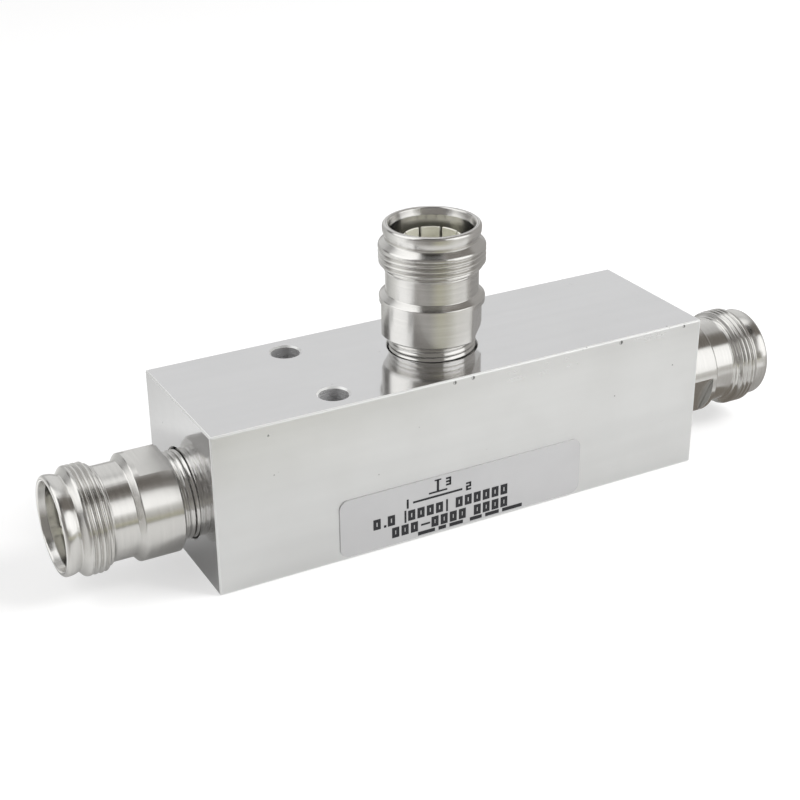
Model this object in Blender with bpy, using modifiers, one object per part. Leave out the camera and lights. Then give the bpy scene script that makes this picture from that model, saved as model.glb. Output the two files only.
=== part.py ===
"""Coaxial tapper: a bored aluminium bar with a coaxial connector in each end and one in its top face.

Units are metres and +Z is up. The origin is the centre of the bar's bottom face. The main line runs along X
from the input connector (-X) to the output connector (+X), and the tap connector points up.

A port's pieces are drawn on the port's own axis: Z = 0 is the bar's face and +Z points out of the bar.
"""

import math

import bmesh
import bpy
from mathutils import Matrix, Vector

# Fits
GAP = 0.0003  # clearance between two pieces that seat on each other
OVERCUT = 0.0010  # how far a cutter runs past the face that it opens

# Main line in the bar
LINE_HEIGHT = 0.0130  # from the bottom face to the main line's axis
LINE_BORE = 0.0127  # diameter of the air line's bore
TAP_RISE = 0.0108  # from the main line's axis up to the floor of the tap's seat
SEAT_DEPTH = 0.0072  # depth of the screwed seat that takes a connector's neck
SEAT_CHAMFER = 0.0002

# Mounting holes and the bar round them
HOLE_DIAMETER = 0.0054
HOLE_CHAMFER = 0.0002
HOLE_WALL = 0.00115  # metal between a mounting hole and the line's bore
HOLE_MARGIN = 0.0026  # metal between a mounting hole and the bar's side
HOLE_FROM_END = 0.0255  # from the input end's face to the holes' centres
BAR_LENGTH = 0.1020
BAR_EDGE = 0.0004  # chamfer along every edge of the bar

# Connector: the outer conductor that a plug meets, from the axis outwards
BASKET_BORE = 0.0093  # inner diameter of the spring basket
BASKET_WALL = 0.0004
BASKET_BEAD = 0.00025  # the fingertips' bead stands this far out of the basket
PLUG_ROOM = 0.00246  # width of the ring-shaped space for the plug, outside the fingertips
MOUTH_WALL = 0.00088  # wall of the shell round the plug's space
LIP_HEIGHT = 0.00045  # the lip stands this far out of the pilot
THREAD_HEIGHT = 0.00124  # so does the coupling thread's crest
SHOULDER_HEIGHT = 0.00116  # the barrel stands this far out of the waist
FLAT_DEPTH = 0.0013  # how deep the spanner flats cut into the barrel
NECK_STEP = 0.00165  # the neck's crest lies this far inside the barrel
LINE_INSIDE = 0.0098  # inner diameter of the shell behind the insulator
BEAD_LEDGE = 0.0011  # width of the ledge that the insulator rests on

# Connector: lengths along the axis, from the bar's face to the lip
NECK_LENGTH = 0.0030  # bare neck between the bar's face and the barrel
BARREL_CHAMFER = 0.00035
BARREL_LENGTH = 0.0072
COLLAR_LENGTH = 0.0009  # full-round band of the barrel in front of the flats
SHOULDER_LENGTH = 0.0008
WAIST_LENGTH = 0.0043
THREAD_RUNOUT = 0.0017  # slope from the waist up to the thread's crest
THREAD_LENGTH = 0.0036
THREAD_LEAD = 0.0013  # slope from the thread's crest down to the pilot
PILOT_LENGTH = 0.0007
LIP_BACK = 0.00045
LIP_LENGTH = 0.00075
LIP_CHAMFER = 0.0004
MOUTH_CHAMFER = 0.0003
MOUTH_DEPTH = 0.0122  # from the lip down to the floor of the plug's space

# Seal in the neck
SEAL_FROM_FACE = 0.0013  # from the bar's face down to the seal's groove
SEAL_GROOVE = 0.0016  # length of the groove along the neck
SEAL_DEPTH = 0.0011  # depth of the groove below the neck's crest

# Spring basket
RIM_DEPTH = 0.0028  # from the lip down to the fingertips
BASKET_FLANGE = 0.0012  # thickness of the flange that seats on the shell's floor
FINGER_ROOT = 0.0015  # solid sleeve between the flange and the slots
BEAD_LENGTH = 0.0006  # straight part of the fingertips' bead
BEAD_SLOPE = 0.0003
SLOT_COUNT = 8
SLOT_WIDTH = 0.00045

# Centre contact
CONTACT_DIAMETER = 0.0043
CONTACT_TIP_DEPTH = 0.0046  # from the lip down to the contact's tip
CONTACT_TIP_CHAMFER = 0.0003
CONTACT_NECK = 0.0032  # diameter where the insulator holds the contact
SOCKET_BORE = 0.0022
SOCKET_DEPTH = 0.0050
SOCKET_SLOTS = 4
SOCKET_SLOT_WIDTH = 0.0004
SOCKET_SLOT_LENGTH = 0.0044
CONTACT_REACH = 0.0060  # from the bar's face down to the contact's shoulder
PIN_DIAMETER = 0.0024
PIN_LENGTH = 0.0030
INSULATOR_LENGTH = 0.0030

# Main conductor: half of it. What lies between the middle step and the thin end is the outer step
ROD_CENTRE_DIAMETER = 0.0084
ROD_CENTRE_LENGTH = 0.0070
ROD_MIDDLE_DIAMETER = 0.0076
ROD_MIDDLE_LENGTH = 0.0110
ROD_OUTER_DIAMETER = 0.0065
ROD_END_DIAMETER = 0.0055
ROD_END_LENGTH = 0.0147  # thin end that carries a support and takes a contact's pin
SUPPORT_LENGTH = 0.0040

# Tap conductor
RISER_DIAMETER = 0.0032
RISER_HEAD_LENGTH = 0.0040
RISER_PIN_LENGTH = 0.0027

# Rating label on the front face
LABEL_LENGTH = 0.0515
LABEL_HEIGHT = 0.0117
LABEL_THICKNESS = 0.0002
LABEL_GAP = 0.0001
LABEL_CORNER = 0.0018
LABEL_FROM_END = 0.0233  # from the input end's face to the label
LABEL_FROM_BOTTOM = 0.0006

# Turn of each connector about its own axis, as its thread came tight: where its spanner flats face
INPUT_TURN = math.radians(1.5)  # from straight up towards the front
OUTPUT_TURN = math.radians(114.5)  # from straight up towards the front
TAP_TURN = math.radians(41.0)  # from the output's side towards the front

# Fineness of the round forms
BORE_STEPS = 40
SHELL_STEPS = 40
BASKET_STEPS = 32
SMALL_STEPS = 20
SEAL_STEPS = 24
SEAL_SECTION_STEPS = 8
SMOOTH_ANGLE = math.radians(22)  # less than the bend from the barrel to a spanner flat
SEAL_SMOOTH_ANGLE = math.radians(60)
MERGE = 0.000001

# Radii that follow from the sizes above
LINE_RADIUS = LINE_BORE / 2
HOLE_RADIUS = HOLE_DIAMETER / 2
BASKET_INSIDE = BASKET_BORE / 2
FINGER_RADIUS = BASKET_INSIDE + BASKET_WALL
FINGERTIP_RADIUS = FINGER_RADIUS + BASKET_BEAD
MOUTH_RADIUS = FINGERTIP_RADIUS + PLUG_ROOM
WAIST_RADIUS = MOUTH_RADIUS + MOUTH_WALL
LIP_RADIUS = WAIST_RADIUS + LIP_HEIGHT
THREAD_RADIUS = WAIST_RADIUS + THREAD_HEIGHT
BARREL_RADIUS = WAIST_RADIUS + SHOULDER_HEIGHT
FLAT_RADIUS = BARREL_RADIUS - FLAT_DEPTH
NECK_RADIUS = BARREL_RADIUS - NECK_STEP
SEAT_RADIUS = NECK_RADIUS + GAP
LINE_INSIDE_RADIUS = LINE_INSIDE / 2
INSULATOR_RADIUS = LINE_INSIDE_RADIUS + BEAD_LEDGE
CONTACT_RADIUS = CONTACT_DIAMETER / 2
CONTACT_NECK_RADIUS = CONTACT_NECK / 2
SOCKET_RADIUS = SOCKET_BORE / 2
PIN_RADIUS = PIN_DIAMETER / 2
PIN_HOLE_RADIUS = PIN_RADIUS + GAP

# Heights along a port's axis that follow from the sizes above
BARREL_BACK = NECK_LENGTH
BARREL_FRONT = BARREL_BACK + BARREL_LENGTH
WAIST_BACK = BARREL_FRONT + SHOULDER_LENGTH
WAIST_FRONT = WAIST_BACK + WAIST_LENGTH
THREAD_BACK = WAIST_FRONT + THREAD_RUNOUT
THREAD_FRONT = THREAD_BACK + THREAD_LENGTH
PILOT_BACK = THREAD_FRONT + THREAD_LEAD
PILOT_FRONT = PILOT_BACK + PILOT_LENGTH
LIP_EDGE_BACK = PILOT_FRONT + LIP_BACK
LIP_EDGE_FRONT = LIP_EDGE_BACK + LIP_LENGTH
LIP_FACE = LIP_EDGE_FRONT + LIP_CHAMFER
MOUTH_FLOOR = LIP_FACE - MOUTH_DEPTH
INSULATOR_BACK = MOUTH_FLOOR - INSULATOR_LENGTH
LEDGE = INSULATOR_BACK - GAP
NECK_END = GAP - SEAT_DEPTH
SEAL_TOP = -SEAL_FROM_FACE
SEAL_BOTTOM = SEAL_TOP - SEAL_GROOVE
FLANGE_BACK = MOUTH_FLOOR + GAP
FLANGE_FRONT = FLANGE_BACK + BASKET_FLANGE
BASKET_RIM = LIP_FACE - RIM_DEPTH
CONTACT_TIP = LIP_FACE - CONTACT_TIP_DEPTH
CONTACT_SHOULDER = -CONTACT_REACH
ROD_END_DEPTH = CONTACT_REACH + GAP
PIN_HOLE_DEPTH = PIN_LENGTH + GAP

# The bar, the conductors and the label
HOLE_OFFSET = LINE_RADIUS + HOLE_WALL + HOLE_RADIUS
BAR_WIDTH = 2 * (HOLE_OFFSET + HOLE_RADIUS + HOLE_MARGIN)
BAR_HEIGHT = LINE_HEIGHT + TAP_RISE + SEAT_DEPTH
BAR_END = BAR_LENGTH / 2
HOLE_X = HOLE_FROM_END - BAR_END
ROD_END = BAR_END - ROD_END_DEPTH
ROD_CENTRE_RADIUS = ROD_CENTRE_DIAMETER / 2
ROD_END_RADIUS = ROD_END_DIAMETER / 2
ROD_END_START = ROD_END - ROD_END_LENGTH
ROD_OUTER_LENGTH = ROD_END_START - ROD_CENTRE_LENGTH - ROD_MIDDLE_LENGTH
RISER_FOOT = LINE_HEIGHT + ROD_CENTRE_RADIUS + GAP
RISER_TOP = BAR_HEIGHT - ROD_END_DEPTH

# Colours, roughness and metal of each finish
FINISHES = {
    "aluminium": ((0.78, 0.78, 0.77), 0.25, 1.0),
    "plated_shell": ((0.80, 0.79, 0.76), 0.15, 1.0),
    "silver": ((0.90, 0.88, 0.78), 0.25, 1.0),
    "insulator": ((0.90, 0.90, 0.88), 0.50, 0.0),
    "seal": ((0.03, 0.03, 0.03), 0.60, 0.0),
    "foil_label": ((0.62, 0.62, 0.62), 0.40, 0.5),
}


def clear_scene():
    """Remove the objects that a new file starts with."""
    for item in list(bpy.data.objects):
        bpy.data.objects.remove(item, do_unlink=True)


def new_collection(name):
    collection = bpy.data.collections.new(name)
    bpy.context.scene.collection.children.link(collection)
    return collection


def make_material(name):
    colour, roughness, metallic = FINISHES[name]
    material = bpy.data.materials.new(name)
    material.use_nodes = True
    shader = material.node_tree.nodes["Principled BSDF"]
    shader.inputs["Base Color"].default_value = (*colour, 1.0)
    shader.inputs["Roughness"].default_value = roughness
    shader.inputs["Metallic"].default_value = metallic
    return material


def add_object(name, mesh, collection, parent=None, matrix=None):
    """Link a mesh as a named object, placed in its parent's space by matrix."""
    item = bpy.data.objects.new(name, mesh)
    collection.objects.link(item)
    item.parent = parent
    if matrix is not None:
        item.matrix_local = matrix
    return item


def outline_mesh(name, points, closed):
    """Make a mesh of edges from (radius, height) points, for a Screw modifier to turn."""
    mesh = bpy.data.meshes.new(name)
    count = len(points)
    edges = [(i, i + 1) for i in range(count - 1)]
    if closed:
        edges.append((count - 1, 0))
    mesh.from_pydata([(radius, 0.0, height) for radius, height in points], edges, [])
    return mesh


def turn(name, points, steps, collection, parent=None, matrix=None):
    """Turn a profile about Z. It runs down the outer side; a profile off the axis closes on itself."""
    on_axis = abs(points[0][0]) < MERGE
    item = add_object(name, outline_mesh(name, points, not on_axis), collection, parent, matrix)
    screw = item.modifiers.new("turn", "SCREW")
    screw.axis = "Z"
    screw.steps = steps
    screw.render_steps = steps
    screw.use_merge_vertices = on_axis
    screw.merge_threshold = MERGE
    return item


def box_mesh(name, boxes):
    """Make a mesh of separate boxes, each given by its size and the matrix that places it."""
    mesh = bpy.data.meshes.new(name)
    bm = bmesh.new()
    for size, matrix in boxes:
        scale = Matrix.Diagonal((*size, 1.0))
        bmesh.ops.create_cube(bm, size=1.0, matrix=matrix @ scale)
    bm.to_mesh(mesh)
    bm.free()
    return mesh


def cut(item, cutter):
    """Take a cutter away from an object and hide the cutter."""
    boolean = item.modifiers.new(cutter.name, "BOOLEAN")
    boolean.operation = "DIFFERENCE"
    boolean.solver = "EXACT"
    boolean.object = cutter
    cutter.hide_render = True
    cutter.display_type = "WIRE"


def radial_slots(name, count, width, inner, outer, low, high, collection, parent):
    """Make a cutter of thin boxes that stand round an axis like spokes."""
    size = (outer - inner, width, high - low)
    centre = Vector(((inner + outer) / 2, 0.0, (low + high) / 2))
    boxes = []
    for i in range(count):
        spoke = Matrix.Rotation(2 * math.pi * (i + 0.5) / count, 4, "Z")
        boxes.append((size, spoke @ Matrix.Translation(centre)))
    return add_object(name, box_mesh(name, boxes), collection, parent)


def finish_object(item, material, smooth_angle=SMOOTH_ANGLE):
    """Apply the modifiers, give the material and shade the round faces smooth."""
    bpy.context.view_layer.update()
    graph = bpy.context.evaluated_depsgraph_get()
    mesh = bpy.data.meshes.new_from_object(item.evaluated_get(graph))
    mesh.name = item.name
    item.modifiers.clear()
    item.data = mesh
    mesh.materials.clear()
    mesh.materials.append(material)
    mesh.shade_smooth()
    mesh.set_sharp_from_angle(angle=smooth_angle)


def step_down(radii, depths):
    """Make a stepped profile from the axis out and down: each radius runs down to its depth."""
    points = [(0.0, depths[0])]
    for radius, top, bottom in zip(radii, depths, depths[1:]):
        points.append((radius, top))
        points.append((radius, bottom))
    points.append((0.0, depths[-1]))
    return points


def make_port(name, location, outwards, flat_normal, collection):
    """Make the empty that carries a connector: +Z points out of the bar and X is square to the flats."""
    port = bpy.data.objects.new(name, None)
    collection.objects.link(port)
    z_axis = Vector(outwards)
    x_axis = Vector(flat_normal)
    y_axis = z_axis.cross(x_axis)
    axes = Matrix((x_axis, y_axis, z_axis)).transposed().to_4x4()
    port.matrix_world = Matrix.Translation(location) @ axes
    return port


def make_ports(collection):
    """The three ports: one in each end, on the main line's axis, and one in the top face."""
    input_flats = (0.0, -math.sin(INPUT_TURN), math.cos(INPUT_TURN))
    output_flats = (0.0, -math.sin(OUTPUT_TURN), math.cos(OUTPUT_TURN))
    tap_flats = (math.cos(TAP_TURN), -math.sin(TAP_TURN), 0.0)
    return [
        make_port("input", (-BAR_END, 0.0, LINE_HEIGHT), (-1.0, 0.0, 0.0), input_flats, collection),
        make_port("output", (BAR_END, 0.0, LINE_HEIGHT), (1.0, 0.0, 0.0), output_flats, collection),
        make_port("tap", (0.0, 0.0, BAR_HEIGHT), (0.0, 0.0, 1.0), tap_flats, collection),
    ]


def seat_cutter(name, port, cutters):
    """Make the cutter of a connector's seat, with the small chamfer at its mouth."""
    flare = SEAT_CHAMFER + OVERCUT
    points = [
        (0.0, OVERCUT),
        (SEAT_RADIUS + flare, OVERCUT),
        (SEAT_RADIUS, -SEAT_CHAMFER),
        (SEAT_RADIUS, -SEAT_DEPTH),
        (0.0, -SEAT_DEPTH),
    ]
    return turn(name, points, BORE_STEPS, cutters, port)


def make_housing(ports, part, cutters, material):
    """The square bar with its bore, three connector seats and two mounting holes."""
    middle = Matrix.Translation((0.0, 0.0, BAR_HEIGHT / 2))
    bar = box_mesh("housing", [((BAR_LENGTH, BAR_WIDTH, BAR_HEIGHT), middle)])
    housing = add_object("housing", bar, part)
    edges = housing.modifiers.new("edges", "BEVEL")
    edges.width = BAR_EDGE
    edges.segments = 1

    for port in ports:
        cut(housing, seat_cutter(port.name + "_seat", port, cutters))

    half_bore = BAR_END - SEAT_DEPTH + OVERCUT
    along = Matrix.Translation((0.0, 0.0, LINE_HEIGHT)) @ Matrix.Rotation(math.pi / 2, 4, "Y")
    bore = turn("line_bore", step_down([LINE_RADIUS], [half_bore, -half_bore]), BORE_STEPS, cutters, None, along)
    cut(housing, bore)

    rise = step_down([LINE_INSIDE_RADIUS], [BAR_HEIGHT - SEAT_DEPTH + OVERCUT, LINE_HEIGHT])
    cut(housing, turn("tap_bore", rise, BORE_STEPS, cutters))

    flare = HOLE_RADIUS + HOLE_CHAMFER + OVERCUT
    hole = [
        (0.0, BAR_HEIGHT + OVERCUT),
        (flare, BAR_HEIGHT + OVERCUT),
        (HOLE_RADIUS, BAR_HEIGHT - HOLE_CHAMFER),
        (HOLE_RADIUS, HOLE_CHAMFER),
        (flare, -OVERCUT),
        (0.0, -OVERCUT),
    ]
    for side, word in ((-1, "front"), (1, "back")):
        place = Matrix.Translation((HOLE_X, side * HOLE_OFFSET, 0.0))
        cut(housing, turn("mounting_hole_" + word, hole, SMALL_STEPS, cutters, None, place))
    finish_object(housing, material)


def shell_profile():
    """The connector shell's section, down its outside and back up its inside."""
    groove_radius = NECK_RADIUS - SEAL_DEPTH
    outside = [
        (MOUTH_RADIUS + MOUTH_CHAMFER, LIP_FACE),
        (LIP_RADIUS - LIP_CHAMFER, LIP_FACE),
        (LIP_RADIUS, LIP_EDGE_FRONT),
        (LIP_RADIUS, LIP_EDGE_BACK),
        (WAIST_RADIUS, PILOT_FRONT),
        (WAIST_RADIUS, PILOT_BACK),
        (THREAD_RADIUS, THREAD_FRONT),
        (THREAD_RADIUS, THREAD_BACK),
        (WAIST_RADIUS, WAIST_FRONT),
        (WAIST_RADIUS, WAIST_BACK),
        (BARREL_RADIUS, BARREL_FRONT),
        (BARREL_RADIUS, BARREL_BACK + BARREL_CHAMFER),
        (BARREL_RADIUS - BARREL_CHAMFER, BARREL_BACK),
        (NECK_RADIUS, BARREL_BACK),
        (NECK_RADIUS, SEAL_TOP),
        (groove_radius, SEAL_TOP),
        (groove_radius, SEAL_BOTTOM),
        (NECK_RADIUS, SEAL_BOTTOM),
        (NECK_RADIUS, NECK_END),
    ]
    inside = [
        (LINE_INSIDE_RADIUS, NECK_END),
        (LINE_INSIDE_RADIUS, LEDGE),
        (INSULATOR_RADIUS + GAP, LEDGE),
        (INSULATOR_RADIUS + GAP, MOUTH_FLOOR),
        (MOUTH_RADIUS, MOUTH_FLOOR),
        (MOUTH_RADIUS, LIP_FACE - MOUTH_CHAMFER),
    ]
    return outside + inside


def make_shell(port, part, cutters, material):
    """The turned connector body, with two spanner flats cut from the back of its barrel."""
    shell = turn(port.name + "_connector_shell", shell_profile(), SHELL_STEPS, part, port)
    low = BARREL_BACK - OVERCUT
    high = BARREL_FRONT - COLLAR_LENGTH
    depth = FLAT_DEPTH + OVERCUT
    width = 2 * BARREL_RADIUS
    boxes = []
    for side in (-1, 1):
        centre = Vector((side * (FLAT_RADIUS + depth / 2), 0.0, (low + high) / 2))
        boxes.append(((depth, width, high - low), Matrix.Translation(centre)))
    name = port.name + "_spanner_flats"
    cut(shell, add_object(name, box_mesh(name, boxes), cutters, port))
    finish_object(shell, material)


def make_outer_contact(port, part, cutters, material):
    """The spring basket: a flanged sleeve slit into fingers, with a bead round the fingertips."""
    bead_top = BASKET_RIM - BEAD_SLOPE
    bead_bottom = bead_top - BEAD_LENGTH
    points = [
        (BASKET_INSIDE, BASKET_RIM),
        (FINGER_RADIUS, BASKET_RIM),
        (FINGERTIP_RADIUS, bead_top),
        (FINGERTIP_RADIUS, bead_bottom),
        (FINGER_RADIUS, bead_bottom - BEAD_SLOPE),
        (FINGER_RADIUS, FLANGE_FRONT),
        (MOUTH_RADIUS - GAP, FLANGE_FRONT),
        (MOUTH_RADIUS - GAP, FLANGE_BACK),
        (BASKET_INSIDE, FLANGE_BACK),
    ]
    basket = turn(port.name + "_outer_contact", points, BASKET_STEPS, part, port)
    slots = radial_slots(
        port.name + "_basket_slots",
        SLOT_COUNT,
        SLOT_WIDTH,
        BASKET_INSIDE - BASKET_WALL,
        FINGERTIP_RADIUS + BASKET_WALL,
        FLANGE_FRONT + FINGER_ROOT,
        BASKET_RIM + OVERCUT,
        cutters,
        port,
    )
    cut(basket, slots)
    finish_object(basket, material)


def make_centre_contact(port, part, cutters, material):
    """The slotted socket at the tip, a neck in the insulator and a pin that plugs into the conductor."""
    neck_front = MOUTH_FLOOR + GAP
    points = [
        (0.0, CONTACT_TIP - SOCKET_DEPTH),
        (SOCKET_RADIUS, CONTACT_TIP - SOCKET_DEPTH),
        (SOCKET_RADIUS, CONTACT_TIP),
        (CONTACT_RADIUS - CONTACT_TIP_CHAMFER, CONTACT_TIP),
        (CONTACT_RADIUS, CONTACT_TIP - CONTACT_TIP_CHAMFER),
        (CONTACT_RADIUS, neck_front),
        (CONTACT_NECK_RADIUS, neck_front),
        (CONTACT_NECK_RADIUS, LEDGE),
        (CONTACT_RADIUS, LEDGE),
        (CONTACT_RADIUS, CONTACT_SHOULDER),
        (PIN_RADIUS, CONTACT_SHOULDER),
        (PIN_RADIUS, CONTACT_SHOULDER - PIN_LENGTH),
        (0.0, CONTACT_SHOULDER - PIN_LENGTH),
    ]
    contact = turn(port.name + "_centre_contact", points, SMALL_STEPS, part, port)
    slots = radial_slots(
        port.name + "_socket_slots",
        SOCKET_SLOTS,
        SOCKET_SLOT_WIDTH,
        SOCKET_RADIUS / 2,
        CONTACT_RADIUS + SOCKET_RADIUS,
        CONTACT_TIP - SOCKET_SLOT_LENGTH,
        CONTACT_TIP + OVERCUT,
        cutters,
        port,
    )
    cut(contact, slots)
    finish_object(contact, material)


def make_ring(name, inner, outer, low, high, steps, part, parent, material, matrix=None):
    """A plain turned ring, such as an insulating washer."""
    points = [(inner, high), (outer, high), (outer, low), (inner, low)]
    ring = turn(name, points, steps, part, parent, matrix)
    finish_object(ring, material)


def make_seal(port, part, material):
    """The round-section ring that lies in the neck's groove."""
    groove_radius = NECK_RADIUS - SEAL_DEPTH
    section = (SEAT_RADIUS - groove_radius) / 2 - GAP
    centre = (SEAL_TOP + SEAL_BOTTOM) / 2
    points = []
    for i in range(SEAL_SECTION_STEPS):
        angle = math.pi / 2 - 2 * math.pi * i / SEAL_SECTION_STEPS
        radius = (SEAT_RADIUS + groove_radius) / 2 + section * math.cos(angle)
        points.append((radius, centre + section * math.sin(angle)))
    seal = turn(port.name + "_o_ring", points, SEAL_STEPS, part, port)
    finish_object(seal, material, SEAL_SMOOTH_ANGLE)


def make_connector(port, part, cutters, materials):
    """One connector: shell, seal, insulator, centre contact and spring basket."""
    make_shell(port, part, cutters, materials["plated_shell"])
    make_seal(port, part, materials["seal"])
    make_ring(
        port.name + "_insulator",
        CONTACT_NECK_RADIUS + GAP,
        INSULATOR_RADIUS,
        INSULATOR_BACK,
        MOUTH_FLOOR,
        BASKET_STEPS,
        part,
        port,
        materials["insulator"],
    )
    make_centre_contact(port, part, cutters, materials["silver"])
    make_outer_contact(port, part, cutters, materials["silver"])


def half_rod():
    """The main conductor's steps from one end to its middle, as (radius, distance from the middle)."""
    lengths = (ROD_CENTRE_LENGTH, ROD_MIDDLE_LENGTH, ROD_OUTER_LENGTH)
    diameters = (ROD_CENTRE_DIAMETER, ROD_MIDDLE_DIAMETER, ROD_OUTER_DIAMETER)
    steps = [(0.0, ROD_END - PIN_HOLE_DEPTH), (PIN_HOLE_RADIUS, ROD_END - PIN_HOLE_DEPTH)]
    steps += [(PIN_HOLE_RADIUS, ROD_END), (ROD_END_RADIUS, ROD_END), (ROD_END_RADIUS, ROD_END_START)]
    reach = ROD_END_START
    for length, diameter in zip(reversed(lengths), reversed(diameters)):
        steps.append((diameter / 2, reach))
        reach -= length
        if reach > MERGE:
            steps.append((diameter / 2, reach))
    return steps


def make_main_conductor(part, cutters, material):
    """The stepped rod on the main line's axis, bored at both ends and drilled from above for the tap."""
    near = half_rod()
    far = [(radius, -height) for radius, height in reversed(near)]
    along = Matrix.Translation((0.0, 0.0, LINE_HEIGHT)) @ Matrix.Rotation(math.pi / 2, 4, "Y")
    rod = turn("main_conductor", near + far, SMALL_STEPS, part, None, along)
    floor = RISER_FOOT - RISER_PIN_LENGTH - GAP
    drill = step_down([PIN_HOLE_RADIUS], [LINE_HEIGHT + ROD_CENTRE_DIAMETER, floor])
    cut(rod, turn("tap_drill", drill, SMALL_STEPS, cutters))
    finish_object(rod, material)


def make_tap_conductor(part, material):
    """The rod that stands on the main conductor: pin, riser and a bored head for the tap's contact."""
    head = RISER_TOP - RISER_HEAD_LENGTH
    points = [
        (0.0, RISER_TOP - PIN_HOLE_DEPTH),
        (PIN_HOLE_RADIUS, RISER_TOP - PIN_HOLE_DEPTH),
        (PIN_HOLE_RADIUS, RISER_TOP),
        (ROD_END_RADIUS, RISER_TOP),
        (ROD_END_RADIUS, head),
        (RISER_DIAMETER / 2, head),
        (RISER_DIAMETER / 2, RISER_FOOT),
        (PIN_RADIUS, RISER_FOOT),
        (PIN_RADIUS, RISER_FOOT - RISER_PIN_LENGTH),
        (0.0, RISER_FOOT - RISER_PIN_LENGTH),
    ]
    riser = turn("tap_conductor", points, SMALL_STEPS, part)
    finish_object(riser, material)


def make_supports(part, material):
    """The two washers that carry the main conductor, each against its last step."""
    start = ROD_END_START + GAP
    for side, word in ((-1, "left"), (1, "right")):
        out = Matrix.Rotation(side * math.pi / 2, 4, "Y")
        make_ring(
            "support_bead_" + word,
            ROD_END_RADIUS + GAP,
            LINE_RADIUS - GAP,
            start,
            start + SUPPORT_LENGTH,
            BASKET_STEPS,
            part,
            None,
            material,
            Matrix.Translation((0.0, 0.0, LINE_HEIGHT)) @ out,
        )


def make_label(part, material):
    """The thin label low on the front face, with round corners."""
    face = -BAR_WIDTH / 2 - LABEL_GAP
    centre = Vector(
        (
            LABEL_FROM_END - BAR_END + LABEL_LENGTH / 2,
            face - LABEL_THICKNESS / 2,
            LABEL_FROM_BOTTOM + LABEL_HEIGHT / 2,
        )
    )
    size = (LABEL_LENGTH, LABEL_THICKNESS, LABEL_HEIGHT)
    mesh = box_mesh("rating_label", [(size, Matrix.Translation(centre))])
    bm = bmesh.new()
    bm.from_mesh(mesh)
    corners = [e for e in bm.edges if abs((e.verts[0].co - e.verts[1].co).y) > LABEL_THICKNESS / 2]
    bmesh.ops.bevel(bm, geom=corners, offset=LABEL_CORNER, segments=4, profile=0.5, affect="EDGES")
    bm.to_mesh(mesh)
    bm.free()
    label = add_object("rating_label", mesh, part)
    finish_object(label, material)


def main():
    clear_scene()
    part = new_collection("coaxial_tapper")
    cutters = new_collection("cutters")
    materials = {name: make_material(name) for name in FINISHES}
    ports = make_ports(part)
    bpy.context.view_layer.update()
    make_housing(ports, part, cutters, materials["aluminium"])
    for port in ports:
        make_connector(port, part, cutters, materials)
    make_main_conductor(part, cutters, materials["silver"])
    make_tap_conductor(part, materials["silver"])
    make_supports(part, materials["insulator"])
    make_label(part, materials["foil_label"])


main()
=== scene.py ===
"""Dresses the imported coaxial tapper: fine turned connectors, a milled bar, its label, and a plain studio."""

import math
from contextlib import contextmanager

import bmesh
import bpy
import numpy as np
from bpy.props import FloatProperty, FloatVectorProperty, IntProperty, PointerProperty
from bpy.types import Operator, Panel, PropertyGroup
from mathutils import Matrix, Vector


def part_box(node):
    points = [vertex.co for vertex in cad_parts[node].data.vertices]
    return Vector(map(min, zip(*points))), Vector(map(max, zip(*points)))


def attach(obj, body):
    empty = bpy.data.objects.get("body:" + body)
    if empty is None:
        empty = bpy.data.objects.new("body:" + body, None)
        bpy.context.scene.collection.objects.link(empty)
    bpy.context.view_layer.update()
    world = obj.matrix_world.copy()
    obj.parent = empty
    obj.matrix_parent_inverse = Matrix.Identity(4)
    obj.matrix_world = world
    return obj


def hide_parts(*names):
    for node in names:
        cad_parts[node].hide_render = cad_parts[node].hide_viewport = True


bl_info = {
    "name": "Coaxial Tapper",
    "version": (1, 0, 0),
    "blender": (4, 5, 0),
    "location": "3D View > Sidebar > Tapper",
    "description": "Builds the fine connectors, bar, label and studio of a coaxial tapper",
    "category": "Object",
}

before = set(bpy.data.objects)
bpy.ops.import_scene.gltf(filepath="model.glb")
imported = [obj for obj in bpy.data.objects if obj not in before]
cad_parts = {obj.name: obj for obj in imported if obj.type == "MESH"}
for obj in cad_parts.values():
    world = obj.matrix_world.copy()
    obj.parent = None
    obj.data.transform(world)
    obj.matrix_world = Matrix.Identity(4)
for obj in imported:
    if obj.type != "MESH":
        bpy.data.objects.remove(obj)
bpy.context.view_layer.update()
BAR_LOW, BAR_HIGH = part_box("housing")
LABEL_LOW, LABEL_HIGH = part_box("rating_label")
SEAL_LOW, SEAL_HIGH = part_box("input_o_ring")
LINE_HEIGHT = (SEAL_LOW[2] + SEAL_HIGH[2]) / 2

PORTS = ("input", "output", "tap")
FULL_TURN = 2 * math.pi

# Lengths in metres
MERGE = 1e-7  # points closer than this become one
HAIR = 0.0001  # margin round the zones and the fades
GUARD = 0.00008  # from a rounding to the point that keeps its side straight
OVER = 0.001  # how far a cutter runs past the face that it opens

# Threads
THREAD_OPENING = 0.74  # share of a pitch that the coupling thread's groove takes
NECK_OPENING = 0.86
THREAD_ROW = 0.00004  # distance from one ring of points to the next
NECK_ROW = 0.00005
NECK_THREAD_END = -0.0008  # where the neck's thread ends below the bar's face
THREAD_TURNS = {"input": 57, "output": 179, "tap": 0}  # degrees from the tap's start of the thread

# Sides of the turned cutters and contacts
BORE_SIDES = 96
CONTACT_SIDES = 64
NICK_SIDES = 14

# Angles past which an edge is sharp
BAR_EDGE_ANGLE = math.radians(40)
SHELL_EDGE_ANGLE = math.radians(19)
CONTACT_EDGE_ANGLE = math.radians(30)

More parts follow.
